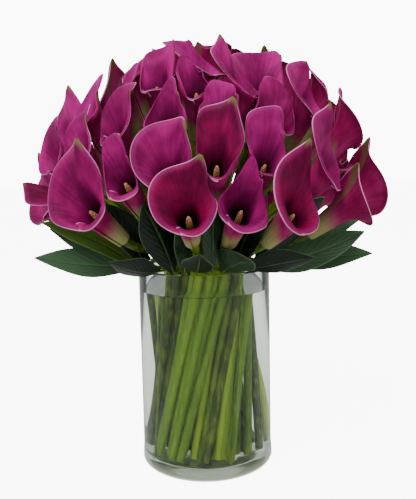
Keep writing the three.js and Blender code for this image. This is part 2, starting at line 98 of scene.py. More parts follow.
# %% Each bloom: azimuth and elevation of its tip, bearing of its throat, size and layer
BLOOMS = [
    (-37, 21, -6, 1.2, 2), (-38, 36, -47, 1.1, 1), (-60, 33, -15, 1.05, 0), (-70, 12, 129, 1, -1),
    (-26, 39, -65, 1.1, 2), (-41, 53, -45, 1.1, 0), (-17, 27, -32, 1.1, 1),
    (-24, 52, -78, 1, -1), (-38, 73, -60, 1.05, 0), (-19, 59, -43, 1, 0), (-12, 80, 180, 1, 0),
    (7, 57, -30, 1.1, -1), (17, 59, 37, 1.1, 0), (57, 68, 150, 1, -1),
    (65, 60, -88, 1.25, 1), (-4, 41, -25, 1.2, 0), (17, 42, -60, 1.15, 0), (-1, 32, -46, 1.1, 3),
    (11, 34, -28, 1.1, 2), (34, 31, -60, 1.2, 1), (42, 41, -75, 1.1, 0), (59, 50, -30, 1.05, 1),
    (72, 52, 10, 1, 0), (26, 21, -65, 1.25, 1), (31, 19, -5, 1.2, 2), (0, 16, -22, 1, 3),
    (47, 31, -5, 1.2, 1), (74, 40, 4, 1, 0), (76, 16, 170, 1.05, -1), (50, 13, 60, 1.05, 0),
    (85, 22, 12, 1.25, 1), (121, 24, -25, 1.25, 0), (141, 19, 15, 1.3, 1), (160, 18, -8, 1.25, 0),
    (179, 46, 43, 1.3, 1), (206, 21, -11, 1.25, 0), (231, 27, 13, 1.3, 1), (256, 15, -7, 1.25, 0),
    (264, 20, 33, 1.25, 1),
    (107, 42, -15, 1.3, 0), (128, 41, 31, 1.3, 1), (169, 39, -4, 1.3, 0), (177, 57, 20, 1.3, 1),
    (234, 57, -30, 1.3, 0), (260, 42, 9, 1.3, 1), (272, 42, 34, 1.2, 0),
    (109, 67, 18, 1.3, 1), (174, 82, -30, 1.3, 0), (212, 71, -19, 1.3, 1), (261, 60, -22, 1.3, 0),
    (64, 84, 147, 1.2, 0), (242, 83, 153, 1.2, 1),
]
print(len(BLOOMS), "blooms")


# %% Placing the blooms on the dome
def unit(v):
    return v / np.linalg.norm(v)


def across(v, axis):
    return v - axis * v.dot(axis)


def polar(centre, az, el, r):
    """Point at an azimuth (0 towards the camera), an elevation and a distance."""
    a, e = math.radians(az), math.radians(el)
    return centre + r * np.array([math.cos(e) * math.sin(a), -math.cos(e) * math.cos(a), math.sin(e)])


class Bloom:
    """One calla: where its tip and throat are, and later its axis, base and walls."""

    def __init__(self, index, az, el, bearing, size, layer):
        self.index, self.size, self.layer = index, size, layer
        self.tip = polar(np.zeros(3), az, el, TIP_R) * (1, DEPTH, 1) + DOME
        a, b = math.radians(az), math.radians(bearing)
        level = np.array([math.cos(a), math.sin(a), 0])
        away = polar(np.zeros(3), az, el - 90, -math.cos(b)) - math.sin(b) * level
        self.throat = self.tip.copy()
        for _ in range(6):
            axis = unit(self.throat - FOCUS)
            up = unit(across(away, axis))
            self.throat = self.tip - TIP_RISE * size * axis - TIP_REACH * size * up

    def take_frame(self):
        self.axis = unit(self.throat - FOCUS)
        self.up = unit(across(self.tip - self.throat, self.axis))
        self.side = np.cross(self.axis, self.up)
        self.base = self.throat - TUBE_LEN * self.size * self.axis

    def settle(self):
        """Moves the base clear of the walls and turns the tube about the throat to follow it."""
        for _ in range(30):
            for q, normal, *_ in self.walls:
                room = (q - self.base).dot(normal)
                if room < BASE_ROOM:
                    self.base = self.base + (room - BASE_ROOM) * normal
                    self.axis = unit(self.throat - self.base)
                    self.base = self.throat - TUBE_LEN * self.size * self.axis
        self.up = unit(across(self.up, self.axis))
        self.side = np.cross(self.axis, self.up)


def ease_apart(blooms):
    """Throats that stand too close move apart along the dome, each with its tip half of the way."""
    for _ in range(60):
        for i, a in enumerate(blooms):
            for b in blooms[i + 1:]:
                apart = b.throat - a.throat
                d, least = math.sqrt(apart.dot(apart)), APART * (a.size + b.size) / 2
                if d > least:
                    continue
                for bloom, sign in ((a, -1), (b, 1)):
                    out = unit(bloom.throat - DOME)
                    move = across(sign * apart * (least - d) / d / 4, out)
                    bloom.throat = bloom.throat + move
                    bloom.tip = bloom.tip + move / 2


# %% Walls between the blooms
def walls_of(bloom, blooms):
    """Planes round a bloom's cell: (point, normal, bend point, leaning normal, this bloom lies over)."""
    walls = []
    for other in blooms:
        if other is bloom or np.linalg.norm(other.throat - bloom.throat) > NEIGHBOURS:
            continue
        share = bloom.size / (bloom.size + other.size)
        middle = bloom.throat + (other.throat - bloom.throat) * share
        out = unit(middle - FOCUS)
        normal = unit(across(other.throat - bloom.throat, out))
        layers = min(max(bloom.layer - other.layer, -2), 2)
        tips = bloom.up.dot(normal) + other.up.dot(normal)
        sides = bloom.side.dot(normal) + other.side.dot(normal)
        lean = (SHINGLE * tips + SWIRL * sides + OVERLAP * layers) / 2
        lean = min(max(lean, -MOST_LEAN), MOST_LEAN)
        height = max((b.throat - middle).dot(out) for b in (bloom, other))
        bend = middle + out * (height - PIVOT)
        walls.append((middle, normal, bend, unit(normal - lean * out), lean > 0))
    for az in range(0, 360, FLOOR_STEP):
        away = polar(np.zeros(3), az, 0, 1)
        rim = away * FLOOR_RING + (0, 0, DOME_FLOOR)
        down = unit(away * (FLOOR_SLOPE + FLOOR_SIDES * abs(away[0])) - (0, 0, 1))
        walls.append((rim, down, rim, down, False))
    return walls


blooms = [Bloom(i, *row) for i, row in enumerate(BLOOMS)]
ease_apart(blooms)
for bloom in blooms:
    bloom.take_frame()
for bloom in blooms:
    bloom.walls = walls_of(bloom, blooms)
for bloom in blooms:
    bloom.settle()
print("first throat in mm:", blooms[0].throat.round(1))

# %% [markdown]
# ## The spathe
# The sheet starts as a narrow tube and opens along its length, most at the front, where the rim rolls over,
# and least at the tip, which stands up. So its shape is a slope that grows from the base to the rim,
# added up step by step, and every angle round the axis has a slope and a length of its own. The sheet goes
# a little more than once round, so its margins overlap in front, as a rolled leaf's do.

# %% Form of one spathe
ROWS, AROUND = ((44, 96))
LIP, LIP_CURL, THIN_RIM, RIM_TAPER = 5.0, math.radians(38), 0.55, 6.0
EDGE_WAVE, WAVES = 1.5, 3
CUSP_WIDTH, ROLL_FADE, LIP_FADE = 0.3, 2.8, 8.0  # how close to the tip each of them acts, from its angle
MARGIN_FROM, MARGIN_TO, MARGIN_CUT = 2.2, 3.45, 0.75  # angles over which the margins fall back, and how far
WALL_EASE, EASINGS = 0.1, 10
PHASE = 2.4  # turns one bloom's waves and sway against the next one's


def smooth(a, b, x):
    t = np.clip((x - a) / (b - a), 0, 1)
    return t * t * (3 - 2 * t)


def soft_min(a, b, k):
    h = np.maximum(k - np.abs(a - b), 0) / k
    return np.minimum(a, b) - h * h * k / 4


def spathe_profile(bloom, th):
    """Distance from the axis and height, in rows from base to rim, for each angle th (0 at the tip)."""
    c = ((1 + np.cos(th - SKEW)) / 2) ** BROAD
    flare = FLARE_FRONT + (FLARE_TIP - FLARE_FRONT) * c + CUSP * np.exp(-np.abs(th) / CUSP_WIDTH)
    full = TUBE_LEN + flare + EDGE_WAVE * np.sin(WAVES * th + PHASE * bloom.index)
    margin = 1 - MARGIN_CUT * smooth(MARGIN_FROM, MARGIN_TO, np.abs(th))
    end = TUBE_LEN + (full - TUBE_LEN) * margin
    near_tip = np.exp(-ROLL_FADE * th * th)
    roll = ROLL_FRONT + (ROLL_BACK - ROLL_FRONT) * c - (ROLL_BACK - ROLL_TIP) * near_tip
    curl = LIP_CURL * (1 - np.exp(-LIP_FADE * th * th))
    fine = 6
    share = np.linspace(0, 1, (ROWS - 1) * fine + 1)[:, None]
    s = end * share
    opening = (np.maximum(s - FLARE_FROM, 0) / (full - FLARE_FROM)) ** 1.5
    slope = TUBE_OPEN + (roll - TUBE_OPEN) * opening + curl * smooth(end - LIP, end, s)
    step = end / (len(share) - 1)
    rho = TUBE_R / bloom.size + np.vstack([0 * end, np.cumsum(np.sin(slope[:-1]) * step, axis=0)])
    z = np.vstack([0 * end, np.cumsum(np.cos(slope[:-1]) * step, axis=0)])
    return rho[::fine] * bloom.size, z[::fine] * bloom.size, (s[::fine] - end) * bloom.size


def stay_in_cell(bloom, points, anchors, clear):
    """Points drawn towards their anchors until they are clear of the cell's walls."""
    ray = points - anchors
    f = np.ones(points.shape[:2])

    def until(q, normal):
        speed = ray @ normal
        reach = (q - anchors) @ normal - clear
        return np.where(speed > 1e-6, reach / np.maximum(speed, 1e-6), 9)

    for q, normal, bend, leaning, over in bloom.walls:
        low, high = until(q, normal), until(bend, leaning)
        f = soft_min(f, np.maximum(low, high) if over else np.minimum(low, high), WALL_EASE)
    return anchors + ray * f[..., None]


def relaxed(grid, rounds):
    """Creases where two walls meet are eased out; the base stays."""
    for _ in range(rounds):
        inner = (grid[2:, 1:-1] + grid[:-2, 1:-1] + grid[1:-1, 2:] + grid[1:-1, :-2]) / 4
        grid[1:-1, 1:-1] += 0.5 * (inner - grid[1:-1, 1:-1])
        grid[-1, 1:-1] += 0.25 * ((grid[-1, 2:] + grid[-1, :-2]) / 2 - grid[-1, 1:-1])
    return grid


def spathe_grid(bloom):
    turns = np.linspace(-0.5, 0.5, AROUND) * COLUMNS / TURN
    th = 2 * math.pi * turns
    rho, z, to_rim = spathe_profile(bloom, th)
    ring = bloom.up * np.cos(th)[:, None] + bloom.side * np.sin(th)[:, None]
    anchors = bloom.base + bloom.axis * np.minimum(z, TUBE_LEN * bloom.size)[..., None]
    points = bloom.base + bloom.axis * z[..., None] + ring[None] * rho[..., None]
    moved = stay_in_cell(bloom, points, anchors, SHEET / 2 + SPIRAL + GAP) - points
    spiral = 2 * SPIRAL * np.linspace(0, 1, AROUND) - SPIRAL
    points = points + relaxed(moved, EASINGS) + ring[None] * spiral[None, :, None]
    return points, th, to_rim


# %% Making a closed sheet from a grid of points
def grid_normals(grid):
    u, w = np.gradient(grid, axis=0), np.gradient(grid, axis=1)
    n = np.cross(u, w)
    return n / np.maximum(np.linalg.norm(n, axis=2, keepdims=True), 1e-9)


def closed_sheet(name, grid, thickness, attributes, uv):
    """Mesh object of a sheet with rounded edges; attributes and uv are arrays over the same grid."""
    rows, columns = grid.shape[:2]
    half = (grid_normals(grid) * thickness[..., None] / 2)
    points = np.concatenate([(grid + half).reshape(-1, 3), (grid - half).reshape(-1, 3)]) * MM
    top = np.arange(rows * columns).reshape(rows, columns)
    low = top + rows * columns
    quads = np.stack([top[:-1, :-1], top[1:, :-1], top[1:, 1:], top[:-1, 1:]], -1).reshape(-1, 4)
    under = np.stack([low[:-1, :-1], low[:-1, 1:], low[1:, 1:], low[1:, :-1]], -1).reshape(-1, 4)
    faces = [quads, under]
    for line_top, line_low, flip in (
        (top[:, 0], low[:, 0], False), (top[:, -1], low[:, -1], True),
        (top[0], low[0], True), (top[-1], low[-1], False),
    ):
        edge = np.stack([line_top[:-1], line_low[:-1], line_low[1:], line_top[1:]], -1)
        faces.append(edge[:, ::-1] if flip else edge)
    mesh = bpy.data.meshes.new(name)
    mesh.from_pydata(points.tolist(), [], np.concatenate(faces).tolist())
    for label, values in attributes.items():
        data = mesh.attributes.new(label, "FLOAT", "POINT").data
        data.foreach_set("value", np.concatenate([values[0].ravel(), values[1].ravel()]).astype(np.float32))
    loops = np.empty(len(mesh.loops), dtype=np.int32)
    mesh.loops.foreach_get("vertex_index", loops)
    flat = np.concatenate([uv.reshape(-1, 2)] * 2)[loops]
    mesh.uv_layers.new(name="UVMap").data.foreach_set("uv", flat.astype(np.float32).ravel())
    mesh.polygons.foreach_set("use_smooth", np.ones(len(mesh.polygons), dtype=bool))
    mesh.validate()
    return add_object(name, mesh)


def add_object(name, mesh):
    piece = bpy.data.objects.new(name, mesh)
    bpy.context.scene.collection.objects.link(piece)
    return piece


# %% All spathes
def edge_distance(grid):
    """Distance in mm, along the rows, to the nearer of the two overlapping margins."""
    steps = np.linalg.norm(np.diff(grid, axis=1), axis=2)
    walked = np.concatenate([np.zeros((len(grid), 1)), np.cumsum(steps, axis=1)], axis=1)
    return np.minimum(walked, walked[:, -1:] - walked)


# A tone is 0 for a deep maroon bloom and 1 for a bright one. It is partly each bloom's own colour, which
# differs at random, and partly painted light: higher blooms are painted brighter, and a few are set one by
# one, as the photo shows them, with the light and shade that falls on them.
LOWEST_TIP, TIP_SPAN = 240, 170
GIVEN_TONES_AND_LIGHT = {0: 0.42, 5: 1.0, 6: 0.6, 17: 0.5, 18: 0.12, 23: 0.6, 24: 0.05, 25: 0.05}
NO_LINE = 6  # added to the margins' distance down the tube, where they are pressed together and not pale
rng = np.random.default_rng(7)
# Painted light: the tone rises with the height of a bloom's tip, so higher blooms are painted brighter.
high = np.array([(b.tip[2] - LOWEST_TIP) / TIP_SPAN for b in blooms])
tones = np.clip(0.12 + 0.6 * high + 0.4 * (rng.random(len(blooms)) - 0.4), 0, 1)
for index, tone in GIVEN_TONES_AND_LIGHT.items():
    tones[index] = tone
spathes = []
for bloom in blooms:
    grid, th, to_rim = spathe_grid(bloom)
    along = np.linspace(0, 1, ROWS)[:, None] + 0 * th
    turned = 0 * along + th / math.pi
    thickness = SHEET * (1 - (1 - THIN_RIM) * smooth(-RIM_TAPER, 0, to_rim))
    to_margin = edge_distance(grid) + NO_LINE * smooth(0.85, 0.6, along)
    rim = np.minimum(-to_rim, to_margin)
    tone = 0 * along + tones[bloom.index]
    piece = closed_sheet(
        f"calla_{bloom.index + 1:02d}", grid, thickness,
        {"inside": (0 * along + 1, 0 * along), "rim": (rim, rim), "tone": (tone, tone),
         "along": (along, along), "turned": (turned, turned)},
        np.stack([turned / 2 + 0.5, along], -1),
    )
    spathes.append(piece)
print(len(spathes), "spathes of", len(spathes[0].data.polygons), "faces")

# %% [markdown]
# ## Stems
# Stems follow paths, so they are drawn as lines that carry a thickness at every point, and Geometry Nodes
# turn the lines into round stems. One tree serves the callas' stems, the leafy sprigs and the spadices.

# %% Paths of the stems
LEAVING, ARRIVING = 0.3, 0.45  # how far each end of a stem's bend keeps its direction, as shares of it


def bezier(a, b, c, d, t):
    s = 1 - t
    return s ** 3 * a + 3 * s * s * t * b + 3 * s * t * t * c + t ** 3 * d


def neck_places(blooms):
    """Places of the stems in the neck: ordered as their blooms, then eased apart."""
    places = []
    for b in blooms:
        r = NECK_R * math.sqrt((1 - b.axis[2]) / (1 - math.cos(WIDEST_LEAN)))
        places.append(unit(b.axis[:2]) * r)
    places = np.array(places)
    for _ in range(200):
        for i in range(len(places)):
            for j in range(len(places)):
                apart = places[j] - places[i]
                d = math.sqrt(apart @ apart)
                if i == j or d > NECK_SPACING:
                    continue
                push = apart * (NECK_SPACING - d) / d / 4
                places[i] -= push
                places[j] += push
        far = np.linalg.norm(places, axis=1)
        places *= np.minimum(1, NECK_R / np.maximum(far, 1e-9))[:, None]
    return places


def straight(place, twist, reach):
    """The straight part of a stem: its cut end, so far from the axis, and its place in the neck."""
    c, s = math.cos(-twist), math.sin(-twist)
    foot = unit(np.array([c * place[0] - s * place[1], s * place[0] + c * place[1]])) * reach
    return np.array([*foot, FOOT_Z]), np.array([*place, NECK_Z])


def stem_path(bloom, place):
    twist = TWIST + SWAY * math.sin(PHASE * bloom.index)
    foot, neck = straight(place, twist, math.hypot(*place) * FOOT_R / NECK_R)
    along = unit(neck - foot)
    reach = np.linalg.norm(bloom.base - neck)
    c1, c2 = neck + LEAVING * reach * along, bloom.base - ARRIVING * reach * bloom.axis
    curve = [bezier(neck, c1, c2, bloom.base, t) for t in np.linspace(0, 1, 14)]
    inside = [bloom.base + bloom.axis * h for h in (2.0, 5.0)]
    return [foot + (neck - foot) * t for t in np.linspace(0, 1, 9)[:-1]] + curve + inside


places = neck_places(blooms)
stem_paths = [stem_path(b, places[b.index]) for b in blooms]
print("points of the first stem:", len(stem_paths[0]))

# %% Lines that carry a thickness
def lines(name, paths, radii, tones):
    """Object of open lines; each point has a radius in mm, a tone and its share of the way."""
    points, edges, radius, tone, share = [], [], [], [], []
    for path, r, t in zip(paths, radii, tones):
        first = len(points)
        points += [tuple(p * MM) for p in path]
        edges += [(first + i, first + i + 1) for i in range(len(path) - 1)]
        radius += list(r)
        tone += [t] * len(path)
        share += list(np.linspace(0, 1, len(path)))
    mesh = bpy.data.meshes.new(name)
    mesh.from_pydata(points, edges, [])
    for label, values in (("thick", radius), ("tone", tone), ("share", share)):
        mesh.attributes.new(label, "FLOAT", "POINT").data.foreach_set("value", values)
    return add_object(name, mesh)


# %% Writing node trees as expressions
class Value:
    """A socket of a node tree that can be added, multiplied and compared like a number."""

    def __init__(self, tree, socket):
        self.tree, self.socket = tree, socket

    def maths(self, operation, *values):
        return self.tree.node("ShaderNodeMath", {"operation": operation}, *values)

    def __add__(self, other):
        return self.maths("ADD", self, other)

    def __sub__(self, other):
        return self.maths("SUBTRACT", self, other)

    def __mul__(self, other):
        return self.maths("MULTIPLY", self, other)

    def __radd__(self, other):
        return self.maths("ADD", other, self)

    def __rsub__(self, other):
        return self.maths("SUBTRACT", other, self)

    def __rmul__(self, other):
        return self.maths("MULTIPLY", other, self)

    def between(self, low, high):
        """0 at low and 1 at high, eased between them; low may be the higher of the two."""
        if low > high:
            return 1 - self.between(high, low)
        settings = {"interpolation_type": "SMOOTHSTEP"}
        return self.tree.node("ShaderNodeMapRange", settings, Value=self, From_Min=low, From_Max=high)


class NodeWriter:
    """Adds nodes to a tree: a type, its settings, then values or links for its sockets."""

    def __init__(self, tree):
        self.tree = tree

    def node(self, kind, settings=None, *values, out=0, **named):
        made = self.tree.nodes.new(kind)
        for key, value in (settings or {}).items():
            setattr(made, key, value)
        free = [s for s in made.inputs if s.enabled]
        by_name = {s.name.replace(" ", "_"): s for s in reversed(free)}
        for socket, value in [*zip(free, values), *((by_name[k], v) for k, v in named.items())]:
            if isinstance(value, Value):
                self.tree.links.new(value.socket, socket)
            else:
                socket.default_value = value
        outputs = [s for s in made.outputs if s.enabled]
        return Value(self, outputs[out]) if outputs else None

    def attribute(self, name):
        return self.node("ShaderNodeAttribute", {"attribute_name": name}, out=2)

    def vector(self, x, y, z):
        return self.node("ShaderNodeCombineXYZ", None, x, y, z)

    def noise(self, at, scale, detail):
        return self.node("ShaderNodeTexNoise", None, Vector=at, Scale=scale, Detail=detail)

    def mix(self, factor, a, b):
        return self.node("ShaderNodeMix", {"data_type": "RGBA"}, Factor=factor, A=a, B=b)

    def bump(self, height, distance):
        return self.node("ShaderNodeBump", None, Height=height, Distance=distance, Strength=1.0)


def paint(code):
    """Linear colour from a hex code."""
    parts = [int(code[i:i + 2], 16) / 255 for i in (1, 3, 5)]
    return (*[c / 12.92 if c <= 0.04045 else ((c + 0.055) / 1.055) ** 2.4 for c in parts], 1.0)


def new_finish(name):
    made = bpy.data.materials.new(name)
    made.use_nodes = True
    made.node_tree.nodes.clear()
    return made, NodeWriter(made.node_tree)


def finish_with(writer, **values):
    """Ends a material with a Principled shader."""
    shader = writer.node("ShaderNodeBsdfPrincipled", None, **values)
    writer.node("ShaderNodeOutputMaterial", None, shader)


print("maroon in linear light:", [round(c, 3) for c in paint("#420020")])

# %% [markdown]
# ## The tree that makes round stems
# A stem could be a cylinder bent by hand, but fifty of them follow fifty paths. Curve to Mesh sweeps one
# circle along every path and reads how thick the stem is at each point, so a single small tree does it.

# %% Geometry Nodes: round stems along lines
def round_stems_tree():
    group = bpy.data.node_groups.new("round stems", "GeometryNodeTree")
    for label, kind, value in (("Paths", "NodeSocketGeometry", None), ("Sides", "NodeSocketInt", 12),
                               ("Fatness", "NodeSocketFloat", 1.0), ("Finish", "NodeSocketMaterial", None)):
        made = group.interface.new_socket(label, in_out="INPUT", socket_type=kind)
        if value is not None:
            made.default_value = value
    group.interface.new_socket("Stems", in_out="OUTPUT", socket_type="NodeSocketGeometry")
    w = NodeWriter(group)
    given = group.nodes.new("NodeGroupInput")
    paths, sides, fatness, finish = (Value(w, given.outputs[i]) for i in range(4))
    thick = w.node("GeometryNodeInputNamedAttribute", {"data_type": "FLOAT"}, Name="thick") * fatness
    circle = w.node("GeometryNodeCurvePrimitiveCircle", None, Resolution=sides, Radius=1.0)
    curve = w.node("GeometryNodeMeshToCurve", None, Mesh=paths)
    skin = w.node("GeometryNodeCurveToMesh", None, Curve=curve, Profile_Curve=circle, Scale=thick,
                  Fill_Caps=True)
    skin = w.node("GeometryNodeSetShadeSmooth", None, Geometry=skin)
    skin = w.node("GeometryNodeRealizeInstances", None, Geometry=skin)
    skin = w.node("GeometryNodeSetMaterial", None, Geometry=skin, Material=finish)
    group.links.new(skin.socket, group.nodes.new("NodeGroupOutput").inputs[0])
    return group


def made_plain(piece, group, **values):
    """Runs a Geometry Nodes tree on an object and keeps the result as a plain mesh."""
    modifier = piece.modifiers.new("nodes", "NODES")
    modifier.node_group = group
    sockets = {s.name: s.identifier for s in group.interface.items_tree if s.in_out == "INPUT"}
    for label, value in values.items():
        modifier[sockets[label]] = value
    evaluated = piece.evaluated_get(bpy.context.evaluated_depsgraph_get())
    mesh = bpy.data.meshes.new_from_object(evaluated)
    mesh.name = piece.name
    piece.modifiers.clear()
    piece.data = mesh
    return piece


round_stems = round_stems_tree()
print(len(round_stems.nodes), "nodes make round stems")

# %% [markdown]
# ## Finish of the spathes
# Inside, a magenta calla is deep purple with a velvety bloom; outside it is dustier and pales to green at
# the foot of the tube. Fine veins run lengthwise, and the rim is a thin pale line. Inside, shade is painted
# darker down the throat and a violet sheen is painted on the lip. Every one of these follows the sheet, so
# the material reads the distances that were stored on it, not a picture.

# %% Spathe finish
def spathe_finish():
    made, w = new_finish("magenta_spathe")
    inside, rim, tone = w.attribute("inside"), w.attribute("rim"), w.attribute("tone")
    along, turned = w.attribute("along"), w.attribute("turned")
    side = turned.maths("ABSOLUTE", turned)
    strands = w.vector(turned * 34.0, along * 1.6, tone * 40.0)
    veins = w.noise(strands, 1.0, detail=3.0)
    clouds = w.noise(w.vector(turned * 2.4, along * 3.0, tone * 17.0), 1.0, detail=3.0)
    # The tone that picks between deep and lively is partly painted light: higher blooms are painted
    # brighter.
    deep = w.mix(tone, paint("#420020"), paint("#74044C"))
    lively = w.mix(tone, paint("#84023E"), paint("#B61E86"))
    face = w.mix((clouds + veins * 0.3).between(0.42, 0.95), deep, lively)
    # Painted shade: the inside is painted darker down into the throat.
    face = w.mix(along.between(0.7, 0.3), face, paint("#24010F"))
    # Painted sheen: the inside is painted a brighter violet over the last few millimetres before the rim.
    face = w.mix(rim.between(7.0, 1.0) * 0.25, face, paint("#A82C80"))
    back = w.mix(clouds.between(0.3, 0.7), paint("#800846"), paint("#A62468"))
    back = w.mix(veins.between(0.35, 0.75) * 0.45, back, paint("#5E0434"))
    foot = (along + clouds * 0.25).between(0.62, 0.28)
    back = w.mix(foot, back, paint("#8C8A58"))
    streak = side.between(0.075, 0.02) * along.between(0.2, 0.45)
    back = w.mix(streak * 0.7, back, paint("#5C6030"))
    colour = w.mix(inside.between(0.35, 0.65), back, face)
    colour = w.mix(rim.between(1.15, 0.45) * 0.85, colour, paint("#DC88B6"))
    point = side.between(0.05, 0.015) * along.between(0.93, 0.99)
    colour = w.mix(point, colour, paint("#5E6430"))
    height = veins * 0.6 + clouds * 0.4
    finish_with(
        w, Base_Color=colour, Roughness=0.46 + 0.12 * veins, Normal=w.bump(height, 0.0007),
        Specular_IOR_Level=0.06, Sheen_Weight=0.02, Sheen_Roughness=0.4, Sheen_Tint=paint("#C850B8"),
        Subsurface_Weight=0.08, Subsurface_Radius=(0.004, 0.0008, 0.002), Subsurface_Scale=1.0,
    )
    return made


magenta_spathe = spathe_finish()
for piece in spathes:
    piece.data.materials.append(magenta_spathe)
print("nodes in the spathe finish:", len(magenta_spathe.node_tree.nodes))

# %% [markdown]
# ## Stems and spadices
# Under water the stems are smooth and fleshy, yellow-green, each its own shade. The spadix is the true
# flower of a calla: a finger covered with tiny cream florets, which a cell pattern in the bump gives.

# %% Stem finish
def stem_finish():
    made, w = new_finish("calla_stem")
    tone = w.attribute("tone")
    at = w.node("ShaderNodeTexCoord", None, out=3)
    stretched = w.node("ShaderNodeVectorMath", {"operation": "MULTIPLY"}, at, (1.0, 1.0, 0.12))
    streaks = w.noise(stretched, 700.0, detail=3.0)
    blotches = w.noise(at, 38.0, detail=2.0)
    olive = w.mix(tone.between(0.05, 0.5), paint("#2C3C06"), paint("#5A7C0C"))
    colour = w.mix(tone.between(0.45, 1.0), olive, paint("#98B428"))
    colour = w.mix(blotches.between(0.45, 0.75) * 0.4, colour, paint("#7E8C24"))
    colour = w.mix(streaks.between(0.5, 0.8) * 0.35, colour, paint("#B4C258"))
    finish_with(w, Base_Color=colour, Roughness=0.38 + 0.15 * streaks, Normal=w.bump(streaks, 0.0003),
                Specular_IOR_Level=0.2,
                Subsurface_Weight=0.1, Subsurface_Radius=(0.002, 0.004, 0.001), Subsurface_Scale=1.0)
    return made


def spadix_finish():
    made, w = new_finish("cream_spadix")
    at = w.node("ShaderNodeTexCoord", None, out=3)
    florets = w.node("ShaderNodeTexVoronoi", None, Vector=at, Scale=820.0)
    # Painted shade: the florets are painted brown towards their edges, in the hollows between them, and
    # cream at their tops.
    colour = w.mix(florets.between(0.1, 0.55), paint("#E0BE8C"), paint("#A8723F"))
    finish_with(w, Base_Color=colour, Roughness=0.6,
                Normal=w.bump(1 - florets, 0.0008))
    return made


# %% Stems from their paths
calla_stem, cream_spadix = stem_finish(), spadix_finish()
stem_tones = np.random.default_rng(11).random(len(stem_paths))
swell = [STEM_R * (1 + 0.07 * math.cos(0.9 * k)) for k in range(len(stem_paths[0]) - 2)]
stem_radii = [swell + [STEM_R * 0.95, STEM_R * 0.8] for _ in stem_paths]
stems = lines("calla_stems", stem_paths, np.array(stem_radii) * MM, stem_tones)
made_plain(stems, round_stems, Sides=18, Finish=calla_stem)

SPADIX_SHAPE = [(0.07, 3.3), (0.2, 3.4), (0.4, 3.2), (0.6, 2.9), (0.8, 2.5), (0.9, 2.1), (0.96, 1.5),
                (0.99, 0.9), (1, 0.2)]  # share of its height, radius in mm
spadix_paths = [[b.base + b.axis * SPADIX_TOP * h * b.size for h, _ in SPADIX_SHAPE] for b in blooms]
spadix_radii = [[r * MM for _, r in SPADIX_SHAPE] for _ in blooms]
spadices = lines("spadices", spadix_paths, spadix_radii, tones)
made_plain(spadices, round_stems, Sides=16, Finish=cream_spadix)
print("faces of the stems and spadices:", len(stems.data.polygons), len(spadices.data.polygons))

# %% [markdown]
# ## Foliage
# Broad leathery leaves stand out under the blooms on thin stalks, and hide where the bundle meets the rim.
# A leaf is a sheet like the spathe, so the same closed sheet serves, folded a little along its midrib. Each
# leaf has a row of its own in the table, because leaves that are rolled about their midrib to face outwards
# close more of the gaps under the blooms than flat ones.

# %% Leaves: quarter, azimuths of foot and tip, radius and height of the tip, width, lift, roll, tone
LEAVES = [
    (1, -72, -77, 159, 207, 29, -3, -62, 0.3), (1, -62, -76, 151, 239, 29, 8, -46, 0.9),
    (1, -50, -52, 116, 258, 27, 9, 52, 0.2), (1, -37, -50, 106, 206, 33, -6, 36, 0.1),
    (1, -24, -22, 124, 256, 36, 6, 56, 0.15), (1, -15, -4, 112, 257, 29, 6, 34, 0.5),
    (1, -6, -1, 118, 217, 27, -5, -13, 0.2), (2, 7, 4, 119, 255, 25, 5, 45, 0.55),
    (2, 15, 20, 117, 209, 33, 4, -39, 0.45), (2, 24, 23, 130, 255, 29, 10, -49, 0.1),
    (2, 36, 46, 129, 209, 26, 0, -51, 0.3), (2, 47, 45, 140, 259, 35, 6, -27, 0.15),
    (2, 56, 72, 152, 226, 36, -6, 59, 0.2), (2, 66, 78, 152, 239, 32, 6, 53, 0.5),
    (2, 78, 76, 159, 205, 29, 0, 58, 0.4), (3, 98, 94, 149, 241, 32, -3, 59, 0.2),
    (3, 114, 126, 140, 254, 35, -3, 2, 0.3), (3, 131, 134, 144, 201, 32, 7, -34, 0.15),
    (3, 148, 148, 126, 246, 35, 1, 61, 0.5), (3, 166, 180, 144, 222, 33, 2, -57, 0.2),
    (4, 178, 186, 129, 212, 30, -5, 61, 0.3), (4, 203, 188, 140, 244, 34, 6, -50, 0.15),
    (4, 220, 230, 133, 249, 35, -1, 54, 0.4), (4, 238, 244, 136, 253, 35, 5, 37, 0.2),
    (4, 256, 243, 131, 198, 35, 6, 35, 0.3), (4, 272, 268, 150, 230, 33, 3, -50, 0.1),
]
HOOP_R, HOOP_Z = 51.0, 195.0
LEAF_R, LEAF_Z = 65.0, 194.5
BLADE, STALK_R = 0.8, 1.2
BEND, STALK_END = 0.67, 0.12
FOLD, RIPPLE = 0.22, 0.05


def height_at(z):
    return np.array([0.0, 0.0, z])


def leaf_points(az0, az1, r, z, lift):
    """Where a leaf's stalk leaves the hoop, where its blade begins, its middle and its tip."""
    foot, tip = polar(height_at(LEAF_Z), az0, 0, LEAF_R), polar(height_at(z), az1, 0, r)
    middle = (foot + tip) / 2 + height_at(1.5 * lift)
    return polar(height_at(HOOP_Z), az0, 0, HOOP_R), foot, middle, tip


def along_leaf(foot, middle, tip, t):
    return bezier(foot, foot + BEND * (middle - foot), tip + BEND * (middle - tip), tip, t)


def leaf_grid(leaf, rows, columns):
    _, az0, az1, r, z, width, lift, roll, _ = leaf
    _, foot, middle, tip = leaf_points(az0, az1, r, z, lift)
    along = unit(tip - foot)
    level = unit(np.cross(along, (0, 0, 1)))
    a = math.radians(roll)
    sideways = level * math.cos(a) + np.cross(along, level) * math.sin(a)
    t = np.linspace(0, 1, rows)
    centre = np.array([along_leaf(foot, middle, tip, v) for v in t])
    half = np.maximum(width / 2 * np.sin(np.pi * (0.06 + 0.93 * t)), 0.25)
    k = np.linspace(-1, 1, columns)
    ripple = RIPPLE * k * k * np.sin(9 * t[:, None] + 3 * np.sign(k) + az0)
    fold = FOLD * np.abs(k) ** 1.4 + ripple
    grid = centre[:, None] + sideways * (k * half[:, None])[..., None]
    grid[..., 2] += fold * half[:, None]
    return grid, t, k, half


